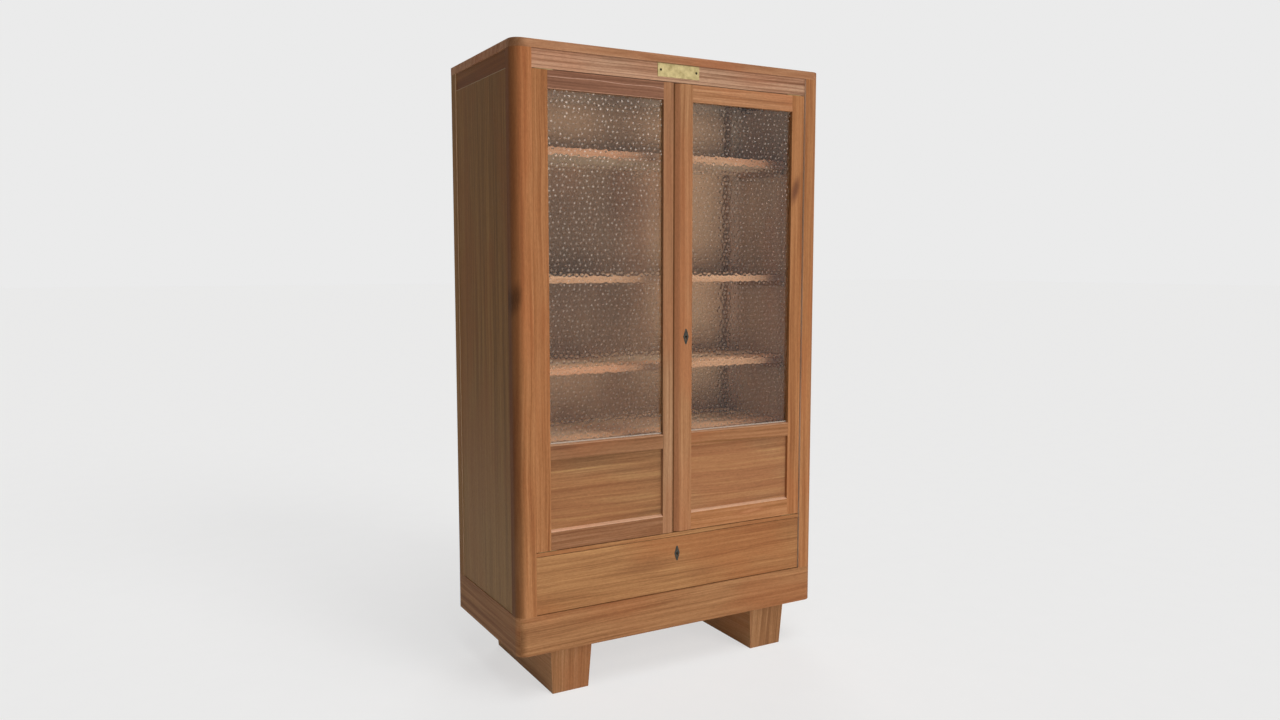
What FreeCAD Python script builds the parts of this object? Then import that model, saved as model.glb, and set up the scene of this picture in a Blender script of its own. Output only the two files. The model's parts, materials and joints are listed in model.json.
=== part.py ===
import FreeCAD, Part
import math
import os

# A glazed school cabinet: two hinged doors over one drawer, on two tapered runner feet.
# Millimetres. x runs to the right, y from the front to the back, z up from the floor.
# The origin is on the floor, under the middle of the case.

# Case
case_width = 1018.0
case_depth = 485.0
case_height = 1666.0
corner_radius = 30.0
top_thickness = 23.0
top_arris = 2.0
frieze_height = 50.0
plinth_height = 110.0
plinth_thickness = 34.0
drawer_opening = 165.0
divider_thickness = 11.0
divider_depth = 70.0
face_recess = 5.0
frieze_recess = 6.0

# Corner posts, and the side panels that lap over them
front_post_width = 55.0
front_post_face = 48.0
rear_post_width = 47.0
rear_post_face = 38.0
panel_lap = 39.0
side_panel_thickness = 12.0
side_panel_recess = 2.0
side_rail_recess = 3.0
side_housing = 5.0

# Back, bottom and cupboard floor
back_panel_thickness = 8.0
back_panel_inset = 22.0
rear_rail_thickness = 36.0
panel_groove = 8.0
bottom_thickness = 22.0
bottom_tongue = 8.0
floor_thickness = 16.0
stop_drop = 14.0
stop_thickness = 18.0

# Tenons and play
tenon_length = 15.0
tenon_height = 12.0
tenon_wall = 6.0
thin_tenon_wall = 3.0
joint_fit = 0.1
shaft_fit = 0.05
air = 0.3
overrun = 1.0

# Shelves, each at its share of the way up from the cupboard floor to the frieze
shelf_height_shares = (0.204, 0.369, 0.575, 0.857)
shelf_thickness = 21.0
shelf_setback = 150.0
shelf_play = 1.0
cleat_width = 12.0
cleat_height = 18.0
cleat_setback = 6.0

# Doors
door_thickness = 22.0
door_gap = 2.0
meeting_gap = 3.0
meeting_shift = -14.5
hinge_stile = 45.0
passive_stile = 33.0
active_stile = 62.0
bevel_width = 20.0
bevel_depth = 10.0
door_top_rail = 49.0
door_middle_rail = 43.0
door_bottom_rail = 57.5
panel_opening = 196.5
reveal = 10.0
rebate = 8.0
glass_thickness = 4.0
glass_play = 1.0
glass_sill = 3.0
bead_bevel = 4.0
door_panel_thickness = 8.0
panel_sill = 6.0
door_tenon_length = 24.0
door_tenon_thickness = 8.0

# Knife hinges
pivot_inset = 12.0
pivot_depth = 6.5
hinge_eye_radius = 4.0
hinge_leaf_width = 12.0
hinge_leaf_length = 50.0
hinge_leaf_thickness = 2.5
hinge_pin_radius = 2.0
hinge_pin_reach = 8.0

# Bolts of the passive door
door_bolt_inset = 14.5
bolt_plate_width = 20.0
bolt_plate_length = 72.0
bolt_plate_thickness = 3.0
bolt_bridge_wall = 2.0
bolt_bridge_length = 10.0
bolt_bridge_span = 36.0
bolt_rod_width = 8.0
bolt_rod_thickness = 6.0
bolt_rod_length = 62.0
bolt_rod_clear = 1.5
bolt_knob_radius = 4.0
bolt_knob_reach = 8.0
bolt_knob_height = 40.0
bolt_travel = 12.0

# Locks
lock_width = 50.0
lock_depth = 12.0
lock_tail = 12.0
lock_bolt_width = 14.0
lock_bolt_thickness = 7.0
lock_bolt_offset = 2.5
lock_bolt_length = 24.0
lock_bolt_set = 0.5
door_lock_set = 3.0
door_lock_backset = 38.0
door_lock_height = 579.6
drawer_lock_set = 0.5
drawer_lock_backset = 50.0
drawer_bolt_travel = 9.0
key_hole_radius = 3.0
key_hole_depth = 8.0
escutcheon_height = 44.0
escutcheon_width = 18.0
escutcheon_tip = 4.0
escutcheon_thickness = 1.5
key_slot_width = 2.6
key_slot_length = 9.0

# Drawer
drawer_front_thickness = 22.0
drawer_front_gap = 1.5
drawer_rear_room = 35.0
drawer_side_thickness = 12.0
drawer_side_height = 160.0
drawer_back_thickness = 12.0
drawer_bottom_thickness = 6.0
drawer_bottom_rise = 8.0
drawer_bottom_groove = 6.0
dovetail_depth = 14.0
front_tail_count = 5
back_tail_count = 5
tail_share = 0.62
tail_slope_share = 0.16
runner_width = 50.0
runner_thickness = 18.0
guide_height = 20.0
stop_block_width = 26.0
stop_block_length = 20.0
stop_block_height = 25.0
kicker_width = 26.0

# Feet and fixings
foot_height = 134.0
foot_width = 112.5
foot_side_inset = 110.8
foot_front_inset = 25.0
foot_rear_inset = 40.0
foot_side_taper = 8.3
foot_end_taper = 7.2
foot_screw_shares = (0.2, 0.8)
foot_screw_head = 5.0
foot_screw_shank = 2.5
foot_screw_length = 55.0
plate_width = 138.0
plate_height = 38.0
plate_thickness = 2.0
plate_drop = 0.5
plate_screw_inset = 10.0
plate_screw_head = 3.6
plate_screw_shank = 1.6
plate_screw_length = 14.0

# Planes of the case that several pieces share
left = -case_width / 2
front = -case_depth / 2
back = case_depth / 2
case_top = foot_height + case_height
plinth_top = foot_height + plinth_height
top_under = case_top - top_thickness
frieze_under = top_under - frieze_height
divider_under = plinth_top + drawer_opening
divider_top = divider_under + divider_thickness
floor_top = divider_top + floor_thickness
post_inner = left + front_post_width
post_end = front + front_post_face + panel_lap
rear_post_inner = left + rear_post_width
rear_post_front = back - rear_post_face - panel_lap
panel_outer = left + side_panel_recess
panel_inner = panel_outer + side_panel_thickness
back_panel_back = back - back_panel_inset
back_panel_front = back_panel_back - back_panel_thickness
frieze_face = front + frieze_recess
stop_under = frieze_under - stop_drop

# Planes of the doors
door_face = front + face_recess
door_back = door_face + door_thickness
stop_plane = door_back + air
glass_front = door_face + reveal
glass_back = glass_front + glass_thickness
door_bottom = divider_top + door_gap
door_top = frieze_under - door_gap
panel_bottom = door_bottom + door_bottom_rail
panel_top = panel_bottom + panel_opening
glass_bottom = panel_top + door_middle_rail
glass_top = door_top - door_top_rail
hinge_edge = post_inner + door_gap
passive_edge = meeting_shift - meeting_gap / 2
active_edge = meeting_shift + meeting_gap / 2
pivot_x = hinge_edge + pivot_inset
pivot_y = door_face + pivot_depth
heel_sweep = math.hypot(pivot_inset, door_thickness - pivot_depth)
heel_clear_x = pivot_x + heel_sweep + air
heel_clear_y = pivot_y + heel_sweep + air
leaf_proud = (door_gap - air) / 2

# Planes of the drawer
drawer_face_back = door_face + drawer_front_thickness
drawer_front_bottom = plinth_top + drawer_front_gap
drawer_front_top = divider_under - drawer_front_gap
drawer_outer = post_inner + door_gap
drawer_inner = drawer_outer + drawer_side_thickness
drawer_rear = back_panel_front - drawer_rear_room
drawer_side_bottom = plinth_top + air
drawer_side_top = drawer_side_bottom + drawer_side_height
drawer_bottom_under = drawer_side_bottom + drawer_bottom_rise
drawer_bottom_top = drawer_bottom_under + drawer_bottom_thickness


# Shapes that the pieces are made from
def board(x0, x1, y0, y1, z0, z1):
    return Part.makeBox(x1 - x0, y1 - y0, z1 - z0, FreeCAD.Vector(x0, y0, z0))


def grown(block, play):
    x0, x1, y0, y1, z0, z1 = block
    return board(x0 - play, x1 + play, y0 - play, y1 + play, z0 - play, z1 + play)


def prism(points, push):
    corners = [FreeCAD.Vector(*point) for point in points + points[:1]]
    return Part.Face(Part.makePolygon(corners)).extrude(FreeCAD.Vector(*push))


def tapered_block(low, high):
    wires = []
    for corners in (low, high):
        points = [FreeCAD.Vector(*corner) for corner in corners + corners[:1]]
        wires.append(Part.makePolygon(points))
    return Part.makeLoft(wires, True, True)


def mirrored(shape):
    return shape.mirror(FreeCAD.Vector(0, 0, 0), FreeCAD.Vector(1, 0, 0))


def turned_over(shape, low, high):
    middle = FreeCAD.Vector(0, 0, (low + high) / 2)
    return shape.mirror(middle, FreeCAD.Vector(0, 0, 1))


def both_sides(shape):
    return Part.makeCompound([shape, mirrored(shape)])


def rounded_block(z0, z1):
    block = board(left, -left, front, back, z0, z1)
    corners = [edge for edge in block.Edges
               if edge.BoundBox.YMax < 0 and edge.BoundBox.XLength < overrun]
    return block.makeFillet(corner_radius, corners)


def screw(head_radius, shank_radius, length, play):
    """A countersunk screw that points down, with the top of its head at the origin."""
    cone_height = head_radius - shank_radius
    down = FreeCAD.Vector(0, 0, -1)
    cone = Part.makeCone(head_radius + play, shank_radius + play, cone_height,
                         FreeCAD.Vector(0, 0, 0), down)
    shank = Part.makeCylinder(shank_radius + play, length - cone_height,
                              FreeCAD.Vector(0, 0, -cone_height), down)
    return cone.fuse(shank).removeSplitter()


# Tenons, each as the six planes of its block
def front_post_tenon(z0, z1):
    return (left + plinth_thickness + tenon_wall, post_inner - tenon_wall,
            front + tenon_wall, front + plinth_thickness - tenon_wall, z0, z1)


def rear_post_tenon(z0, z1):
    return (panel_inner, left + plinth_thickness - tenon_wall,
            rear_post_front + tenon_wall, back - rear_post_face - tenon_wall, z0, z1)


def frieze_tenon():
    return (post_inner - tenon_length, post_inner + joint_fit, frieze_face + tenon_wall,
            stop_plane - tenon_wall, frieze_under + tenon_wall, top_under - tenon_wall)


def divider_tenon():
    return (post_inner - tenon_length, post_inner + joint_fit, door_face + tenon_wall,
            door_face + divider_depth - tenon_wall, divider_under + thin_tenon_wall,
            divider_top - thin_tenon_wall)


def rear_rail_tenon():
    return (rear_post_inner - tenon_length, rear_post_inner + joint_fit,
            back_panel_back + tenon_wall, back - tenon_wall,
            frieze_under + panel_groove + tenon_wall, top_under - tenon_wall)


# Case pieces
def top_board():
    block = rounded_block(top_under, case_top)
    upper = [edge for edge in block.Edges if edge.BoundBox.ZMin > case_top - top_arris]
    top = block.makeFillet(top_arris, upper)
    for tenon in (front_post_tenon(top_under, top_under + tenon_height),
                  rear_post_tenon(top_under, top_under + tenon_height)):
        mortise = grown(tenon, joint_fit)
        top = top.cut([mortise, mirrored(mortise)])
    return top


def front_post():
    blank = board(left, post_inner, front, post_end, plinth_top, top_under)
    post = rounded_block(plinth_top, top_under).common(blank)
    post = post.cut(board(left - overrun, panel_inner, front + front_post_face,
                          post_end + overrun, plinth_top - overrun, top_under + overrun))
    post = post.cut([grown(frieze_tenon(), joint_fit), grown(divider_tenon(), joint_fit)])
    upper = board(*front_post_tenon(top_under - overrun, top_under + tenon_height))
    lower = board(*front_post_tenon(plinth_top - tenon_height, plinth_top + overrun))
    return post.fuse([upper, lower]).removeSplitter()


def rear_post():
    post = board(left, rear_post_inner, rear_post_front, back, plinth_top, top_under)
    post = post.cut(board(left - overrun, panel_inner, rear_post_front - overrun,
                          back - rear_post_face, plinth_top - overrun, top_under + overrun))
    post = post.cut(board(rear_post_inner - panel_groove, rear_post_inner + overrun,
                          back_panel_front - joint_fit, back_panel_back + joint_fit,
                          plinth_top - overrun, frieze_under + panel_groove))
    post = post.cut(grown(rear_rail_tenon(), joint_fit))
    upper = board(*rear_post_tenon(top_under - overrun, top_under + tenon_height))
    lower = board(*rear_post_tenon(plinth_top - tenon_height, plinth_top + overrun))
    return post.fuse([upper, lower]).removeSplitter()


def frieze_rail():
    rail = board(post_inner, -post_inner, frieze_face, stop_plane, frieze_under, top_under)
    tenon = board(*frieze_tenon())
    rail = rail.fuse([tenon, mirrored(tenon)]).removeSplitter()
    leaf = upper_leaf(case_leaf_plate())
    rail = rail.cut([leaf, mirrored(leaf)])
    hole = plate_screw_solids(joint_fit)
    return rail.cut(hole)


def door_stop_strip():
    strip = board(heel_clear_x, -heel_clear_x, stop_plane, stop_plane + stop_thickness,
                  stop_under, top_under)
    return strip.cut(turned_over(bolt_mortise(), floor_top, stop_under))


def side_top_rail():
    return board(left + side_rail_recess, panel_inner, front + front_post_face,
                 back - rear_post_face, frieze_under, top_under)


def rear_top_rail():
    rail = board(rear_post_inner, -rear_post_inner, back - rear_rail_thickness, back,
                 frieze_under, top_under)
    tenon = board(*rear_rail_tenon())
    rail = rail.fuse([tenon, mirrored(tenon)]).removeSplitter()
    return rail.cut(board(rear_post_inner - overrun, -rear_post_inner + overrun,
                          back_panel_front - joint_fit, back_panel_back + joint_fit,
                          frieze_under - overrun, frieze_under + panel_groove))


def side_panel():
    panel = board(panel_outer, panel_inner, front + front_post_face, back - rear_post_face,
                  plinth_top, frieze_under)
    return panel.cut(board(panel_inner - side_housing, panel_inner + overrun, post_end,
                           rear_post_front, divider_top, floor_top))


def back_panel():
    edge = panel_groove - joint_fit
    return board(rear_post_inner - edge, -rear_post_inner + edge, back_panel_front,
                 back_panel_back, plinth_top - edge, frieze_under + edge)


def bottom_groove():
    """The groove that runs round inside the plinth for the tongue of the bottom board."""
    run = bottom_tongue + joint_fit
    third = bottom_thickness / 3
    return board(left + plinth_thickness - run, -left - plinth_thickness + run,
                 front + plinth_thickness - run, back - plinth_thickness + run,
                 foot_height + third - joint_fit, foot_height + 2 * third + joint_fit)


def plinth_front():
    blank = prism([(left, front, foot_height), (-left, front, foot_height),
                   (-left - plinth_thickness, front + plinth_thickness, foot_height),
                   (left + plinth_thickness, front + plinth_thickness, foot_height)],
                  (0, 0, plinth_height))
    piece = blank.common(rounded_block(foot_height, plinth_top)).cut(bottom_groove())
    mortise = grown(front_post_tenon(plinth_top - tenon_height, plinth_top), joint_fit)
    return piece.cut([mortise, mirrored(mortise)])


def plinth_side():
    blank = prism([(left, front, foot_height),
                   (left + plinth_thickness, front + plinth_thickness, foot_height),
                   (left + plinth_thickness, back, foot_height), (left, back, foot_height)],
                  (0, 0, plinth_height))
    piece = blank.common(rounded_block(foot_height, plinth_top)).cut(bottom_groove())
    return piece.cut(grown(rear_post_tenon(plinth_top - tenon_height, plinth_top), joint_fit))


def plinth_rear():
    piece = board(left + plinth_thickness, -left - plinth_thickness, back - plinth_thickness,
                  back, foot_height, plinth_top)
    slot = board(left, -left, back_panel_front - joint_fit, back_panel_back + joint_fit,
                 plinth_top - panel_groove, plinth_top + overrun)
    return piece.cut([bottom_groove(), slot])


def bottom_board():
    third = bottom_thickness / 3
    x0 = left + plinth_thickness
    y0 = front + plinth_thickness
    y1 = back - plinth_thickness
    plank = board(x0, -x0, y0, y1, foot_height, foot_height + bottom_thickness)
    tongue = board(x0 - bottom_tongue, -x0 + bottom_tongue, y0 - bottom_tongue,
                   y1 + bottom_tongue, foot_height + third, foot_height + 2 * third)
    plank = plank.fuse(tongue).removeSplitter()
    return plank.cut(foot_screw_solids(joint_fit))


def divider_rail():
    rail = board(post_inner, -post_inner, door_face, door_face + divider_depth,
                 divider_under, divider_top)
    tenon = board(*divider_tenon())
    rail = rail.fuse([tenon, mirrored(tenon)]).removeSplitter()
    leaf = case_leaf_plate()
    bolt_front = drawer_face_back + lock_bolt_offset - air
    bolt_shot = drawer_front_top - drawer_lock_set - lock_bolt_set + drawer_bolt_travel
    keep = board(-lock_bolt_width / 2 - air, lock_bolt_width / 2 + air, bolt_front,
                 bolt_front + lock_bolt_thickness + 2 * air, divider_under - overrun,
                 bolt_shot + air)
    return rail.cut([leaf, mirrored(leaf), keep])


def cupboard_floor():
    plank = board(panel_inner, -panel_inner, stop_plane, back_panel_front, divider_top, floor_top)
    tongue = board(panel_inner - side_housing + joint_fit, panel_inner, post_end + joint_fit,
                   rear_post_front - joint_fit, divider_top, floor_top)
    plank = plank.fuse([tongue, mirrored(tongue)]).removeSplitter()
    low = divider_top - overrun
    high = floor_top + overrun
    notches = [board(left, post_inner + joint_fit, stop_plane - overrun, post_end + joint_fit,
                     low, high),
               board(left, heel_clear_x, stop_plane - overrun, heel_clear_y, low, high),
               board(left, rear_post_inner + joint_fit, rear_post_front - joint_fit,
                     back + overrun, low, high)]
    for notch in notches:
        plank = plank.cut([notch, mirrored(notch)])
    return plank.cut(bolt_mortise())


def drawer_runner_set():
    runner = board(left + plinth_thickness, left + plinth_thickness + runner_width,
                   front + plinth_thickness, back - plinth_thickness,
                   plinth_top - runner_thickness, plinth_top)
    guide = board(panel_inner, drawer_outer - air, post_end, rear_post_front,
                  plinth_top, plinth_top + guide_height)
    stop = board(drawer_outer, drawer_outer + stop_block_width, drawer_rear + air,
                 drawer_rear + air + stop_block_length, plinth_top,
                 plinth_top + stop_block_height)
    kicker = board(drawer_outer, drawer_outer + kicker_width, door_face + divider_depth,
                   rear_post_front, divider_under, divider_top)
    pieces = [runner, guide, stop, kicker]
    return Part.makeCompound(pieces + [mirrored(piece) for piece in pieces])


def shelf_top(number):
    return floor_top + (frieze_under - floor_top) * shelf_height_shares[number - 1]


def shelf(number):
    top = shelf_top(number)
    under = top - shelf_thickness
    plank = board(panel_inner + shelf_play, -panel_inner - shelf_play, front + shelf_setback,
                  back_panel_front - shelf_play, under, top)
    notch = board(left, rear_post_inner + shelf_play, rear_post_front - shelf_play,
                  back, under - overrun, top + overrun)
    return plank.cut([notch, mirrored(notch)])


def shelf_cleats():
    cleats = []
    for number in range(1, len(shelf_height_shares) + 1):
        high = shelf_top(number) - shelf_thickness
        cleat = board(panel_inner, panel_inner + cleat_width,
                      front + shelf_setback + cleat_setback, rear_post_front,
                      high - cleat_height, high)
        cleats += [cleat, mirrored(cleat)]
    return Part.makeCompound(cleats)


# Feet, name plate and their screws
def foot():
    x0 = left + foot_side_inset
    x1 = x0 + foot_width
    y0 = front + foot_front_inset
    y1 = back - foot_rear_inset
    low = [(x0, y0, 0), (x1, y0, 0), (x1, y1, 0), (x0, y1, 0)]
    high = [(x0 - foot_side_taper, y0 - foot_end_taper, foot_height),
            (x1 + foot_side_taper, y0 - foot_end_taper, foot_height),
            (x1 + foot_side_taper, y1 + foot_end_taper, foot_height),
            (x0 - foot_side_taper, y1 + foot_end_taper, foot_height)]
    return tapered_block(low, high).cut(foot_screw_solids(joint_fit))


def foot_screw_solids(play):
    screws = []
    x = left + foot_side_inset + foot_width / 2
    y0 = front + foot_front_inset
    run = case_depth - foot_front_inset - foot_rear_inset
    for share in foot_screw_shares:
        piece = screw(foot_screw_head, foot_screw_shank, foot_screw_length, play)
        place = FreeCAD.Vector(x, y0 + share * run, foot_height + bottom_thickness)
        piece.translate(place)
        screws += [piece, mirrored(piece)]
    return Part.makeCompound(screws)


def plate_screw_solids(play):
    z = top_under - plate_drop - plate_height / 2
    piece = screw(plate_screw_head, plate_screw_shank, plate_screw_length, play)
    piece.rotate(FreeCAD.Vector(0, 0, 0), FreeCAD.Vector(1, 0, 0), 90)
    piece.translate(FreeCAD.Vector(-plate_width / 2 + plate_screw_inset,
                                   frieze_face - plate_thickness, z))
    return both_sides(piece)


def name_plate():
    high = top_under - plate_drop
    plate = board(-plate_width / 2, plate_width / 2, frieze_face - plate_thickness,
                  frieze_face, high - plate_height, high)
    return plate.cut(plate_screw_solids(joint_fit))


# Knife hinges: a leaf with a pin in the case, and a leaf with a hole in the door's end
def leaf_plan(z0, z1):
    eye = Part.makeCylinder(hinge_eye_radius, z1 - z0, FreeCAD.Vector(pivot_x, pivot_y, z0))
    bar = board(pivot_x, pivot_x + hinge_leaf_length, pivot_y - hinge_eye_radius,
                pivot_y - hinge_eye_radius + hinge_leaf_width, z0, z1)
    return eye.fuse(bar).removeSplitter()


def case_leaf_plate():
    return leaf_plan(divider_top + leaf_proud - hinge_leaf_thickness, divider_top + leaf_proud)


def upper_leaf(lower):
    return turned_over(lower, divider_top, frieze_under)


def hinge_pin(radius, reach):
    low = divider_top
    return Part.makeCylinder(radius, door_bottom + reach - low,
                             FreeCAD.Vector(pivot_x, pivot_y, low))


def hinge_case_leaves():
    lower = case_leaf_plate().fuse(hinge_pin(hinge_pin_radius, hinge_pin_reach))
    lower = lower.removeSplitter()
    upper = upper_leaf(lower)
    return Part.makeCompound([lower, upper, mirrored(lower), mirrored(upper)])


def door_leaf_plate():
    return leaf_plan(door_bottom - leaf_proud, door_bottom - leaf_proud + hinge_leaf_thickness)


def hinge_door_leaves():
    lower = door_leaf_plate().cut(hinge_pin(hinge_pin_radius + shaft_fit,
                                            hinge_pin_reach + overrun))
    return Part.makeCompound([lower, upper_leaf(lower)])


def hinge_seats():
    """What is taken out of a left-hand door for its leaves and for the pins."""
    seat = door_leaf_plate().fuse(hinge_pin(hinge_pin_radius + air, hinge_pin_reach + overrun))
    return [seat, upper_leaf(seat)]


# Door joinery
def rail_tenon(inner, way, z0, z1):
    x0, x1 = sorted((inner + way * joint_fit, inner - way * door_tenon_length))
    return (x0, x1, glass_front, glass_front + door_tenon_thickness, z0, z1)


def rail_tenon_heights():
    return [(glass_top + rebate + tenon_wall, door_top - tenon_wall),
            (panel_top + panel_groove + tenon_wall, glass_bottom - rebate - tenon_wall),
            (door_bottom + tenon_wall, panel_bottom - panel_groove - tenon_wall)]


def stile(outer, inner):
    """One upright of a door, between its outer edge and the edge beside the glass."""
    way = 1 if inner > outer else -1
    x0, x1 = sorted((outer, inner))
    piece = board(x0, x1, door_face, door_back, door_bottom, door_top)
    s0, s1 = sorted((inner - way * rebate, inner + way * overrun))
    piece = piece.cut(board(s0, s1, glass_front, door_back + overrun, glass_bottom - rebate,
                            glass_top + rebate))
    g0, g1 = sorted((inner - way * panel_groove, inner + way * overrun))
    piece = piece.cut(board(g0, g1, glass_front, glass_front + door_panel_thickness + joint_fit,
                            panel_bottom - panel_groove, panel_top + panel_groove))
    for z0, z1 in rail_tenon_heights():
        piece = piece.cut(grown(rail_tenon(inner, way, z0, z1), joint_fit))
    return piece


def sill_cut(x0, x1, z, rise):
    return prism([(x0 - overrun, door_face, z), (x0 - overrun, door_face, z - rise),
                  (x0 - overrun, glass_front, z)], (x1 - x0 + 2 * overrun, 0, 0))


def door_rail(x0, x1, z0, z1, place):
    """A rail between two stiles; place counts from the top rail, 0, to the bottom rail, 2."""
    piece = board(x0, x1, door_face, door_back, z0, z1)
    tenon_low, tenon_high = rail_tenon_heights()[place]
    tenons = [board(*rail_tenon(x0, 1, tenon_low, tenon_high)),
              board(*rail_tenon(x1, -1, tenon_low, tenon_high))]
    piece = piece.fuse(tenons).removeSplitter()
    a = x0 - overrun
    b = x1 + overrun
    groove_back = glass_front + door_panel_thickness + joint_fit
    if place == 0:
        return piece.cut(board(a, b, glass_front, door_back + overrun, z0 - overrun, z0 + rebate))
    if place == 1:
        seat = board(a, b, glass_front, door_back + overrun, z1 - rebate, z1 + overrun)
        groove = board(a, b, glass_front, groove_back, z0 - overrun, z0 + panel_groove)
        return piece.cut([seat, groove, sill_cut(x0, x1, z1, glass_sill)])
    groove = board(a, b, glass_front, groove_back, z1 - panel_groove, z1 + overrun)
    return piece.cut([groove, sill_cut(x0, x1, z1, panel_sill)])


def glazing_beads(x0, x1):
    """Four mitred beads behind the glass, with a bevel on the edge that shows."""
    reach = rebate - joint_fit
    a0, a1 = x0 - reach, x1 + reach
    b0, b1 = glass_bottom - reach, glass_top + reach
    ring = board(a0, a1, glass_back, door_back, b0, b1)
    near = [(x0, glass_back, glass_bottom), (x1, glass_back, glass_bottom),
            (x1, glass_back, glass_top), (x0, glass_back, glass_top)]
    far = [(x0 - bead_bevel, door_back, glass_bottom - bead_bevel),
           (x1 + bead_bevel, door_back, glass_bottom - bead_bevel),
           (x1 + bead_bevel, door_back, glass_top + bead_bevel),
           (x0 - bead_bevel, door_back, glass_top + bead_bevel)]
    ring = ring.cut(tapered_block(near, far))
    y = glass_back
    outlines = [[(a0, y, b0), (a0 + reach, y, b0 + reach), (a0 + reach, y, b1 - reach), (a0, y, b1)],
                [(a1, y, b0), (a1 - reach, y, b0 + reach), (a1 - reach, y, b1 - reach), (a1, y, b1)],
                [(a0, y, b0), (a0 + reach, y, b0 + reach), (a1 - reach, y, b0 + reach), (a1, y, b0)],
                [(a0, y, b1), (a0 + reach, y, b1 - reach), (a1 - reach, y, b1 - reach), (a1, y, b1)]]
    return Part.makeCompound([ring.common(prism(outline, (0, door_back - glass_back, 0)))
                              for outline in outlines])


def door_pieces(outer_left, outer_right, width_left, width_right):
    x0 = outer_left + width_left
    x1 = outer_right - width_right
    glass_edge = rebate - glass_play
    panel_edge = panel_groove - glass_play
    return {
        "left_stile": stile(outer_left, x0),
        "right_stile": stile(outer_right, x1),
        "top_rail": door_rail(x0, x1, glass_top, door_top, 0),
        "middle_rail": door_rail(x0, x1, panel_top, glass_bottom, 1),
        "bottom_rail": door_rail(x0, x1, door_bottom, panel_bottom, 2),
        "glass": board(x0 - glass_edge, x1 + glass_edge, glass_front, glass_back,
                       glass_bottom - glass_edge, glass_top + glass_edge),
        "panel": board(x0 - panel_edge, x1 + panel_edge, glass_front,
                       glass_front + door_panel_thickness, panel_bottom - panel_edge,
                       panel_top + panel_edge),
        "glazing_beads": glazing_beads(x0, x1),
    }


def left_door():
    pieces = door_pieces(hinge_edge, passive_edge, hinge_stile, passive_stile)
    seats = hinge_seats()
    named = {
        "left_door_hinge_stile": pieces["left_stile"].cut(seats),
        "left_door_meeting_stile": pieces["right_stile"],
        "left_door_top_rail": pieces["top_rail"].cut(seats),
        "left_door_middle_rail": pieces["middle_rail"],
        "left_door_bottom_rail": pieces["bottom_rail"].cut(seats),
        "left_door_glass": pieces["glass"],
        "left_door_panel": pieces["panel"],
        "left_door_glazing_beads": pieces["glazing_beads"],
        "left_door_hinge_leaves": hinge_door_leaves(),
    }
    return named


def right_door():
    pieces = door_pieces(active_edge, -hinge_edge, active_stile, hinge_stile)
    seats = [mirrored(seat) for seat in hinge_seats()]
    run_out = overrun * bevel_width / bevel_depth
    bevel = prism([(active_edge - run_out, door_face - overrun, door_bottom - overrun),
                   (active_edge + bevel_width + run_out, door_face - overrun,
                    door_bottom - overrun),
                   (active_edge - run_out, door_face + bevel_depth + overrun,
                    door_bottom - overrun)],
                  (0, 0, door_top - door_bottom + 2 * overrun))
    key_hole = Part.makeCylinder(key_hole_radius, door_thickness + 2 * overrun,
                                 FreeCAD.Vector(door_key_x(), door_face - overrun, door_key_z()),
                                 FreeCAD.Vector(0, 1, 0))
    return {
        "right_door_hinge_stile": pieces["right_stile"].cut(seats),
        "right_door_meeting_stile": pieces["left_stile"].cut([bevel, key_hole]),
        "right_door_top_rail": pieces["top_rail"].cut(seats),
        "right_door_middle_rail": pieces["middle_rail"],
        "right_door_bottom_rail": pieces["bottom_rail"].cut(seats),
        "right_door_glass": pieces["glass"],
        "right_door_panel": pieces["panel"],
        "right_door_glazing_beads": pieces["glazing_beads"],
        "right_door_hinge_leaves": mirrored(hinge_door_leaves()),
    }


# Slide bolts on the back of the passive door's meeting stile; the lower one is drawn first
def bolt_mouth():
    return FreeCAD.Vector(passive_edge - door_bolt_inset, door_back, floor_top + bolt_rod_clear)


def bolt_case():
    half = bolt_plate_width / 2
    rod_half = bolt_rod_width / 2 + air
    rod_back = bolt_plate_thickness + 2 * air + bolt_rod_thickness
    case = board(-half, half, 0, bolt_plate_thickness, 0, bolt_plate_length)
    for z in (0, bolt_bridge_length + bolt_bridge_span):
        bridge = board(-half, half, 0, rod_back + bolt_bridge_wall, z, z + bolt_bridge_length)
        case = case.fuse(bridge)
    case = case.cut(board(-rod_half, rod_half, bolt_plate_thickness, rod_back, -overrun,
                          bolt_plate_length + overrun)).removeSplitter()
    case.translate(bolt_mouth())
    return case


def bolt_rod():
    half = bolt_rod_width / 2
    y0 = bolt_plate_thickness + air
    y1 = y0 + bolt_rod_thickness
    rod = board(-half, half, y0, y1, 0, bolt_rod_length)
    knob = Part.makeCylinder(bolt_knob_radius, bolt_knob_reach + overrun,
                             FreeCAD.Vector(0, y1 - overrun, bolt_knob_height),
                             FreeCAD.Vector(0, 1, 0))
    rod = rod.fuse(knob).removeSplitter()
    rod.translate(bolt_mouth())
    return rod


def bolt_mortise():
    """Room for the lower rod in the cupboard floor when the bolt is shot."""
    half = bolt_rod_width / 2 + air
    y0 = bolt_plate_thickness
    y1 = y0 + 2 * air + bolt_rod_thickness
    room = board(-half, half, y0, y1, -bolt_travel - air, overrun)
    room.translate(bolt_mouth())
    return room


def upper_bolt(lower):
    return turned_over(lower, floor_top, stop_under)


# Locks: the bolt leaves the case at its top edge, and a door's lock is turned on its side
def lock_case(backset):
    length = backset + lock_tail
    case = board(-lock_width / 2, lock_width / 2, 0, lock_depth, -length, 0)
    slot = board(-lock_bolt_width / 2 - air, lock_bolt_width / 2 + air, lock_bolt_offset - air,
                 lock_bolt_offset + lock_bolt_thickness + air,
                 -lock_bolt_set - lock_bolt_length - air, overrun)
    key_hole = Part.makeCylinder(key_hole_radius, key_hole_depth,
                                 FreeCAD.Vector(0, 0, -backset), FreeCAD.Vector(0, 1, 0))
    return case.cut([slot, key_hole])


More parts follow.
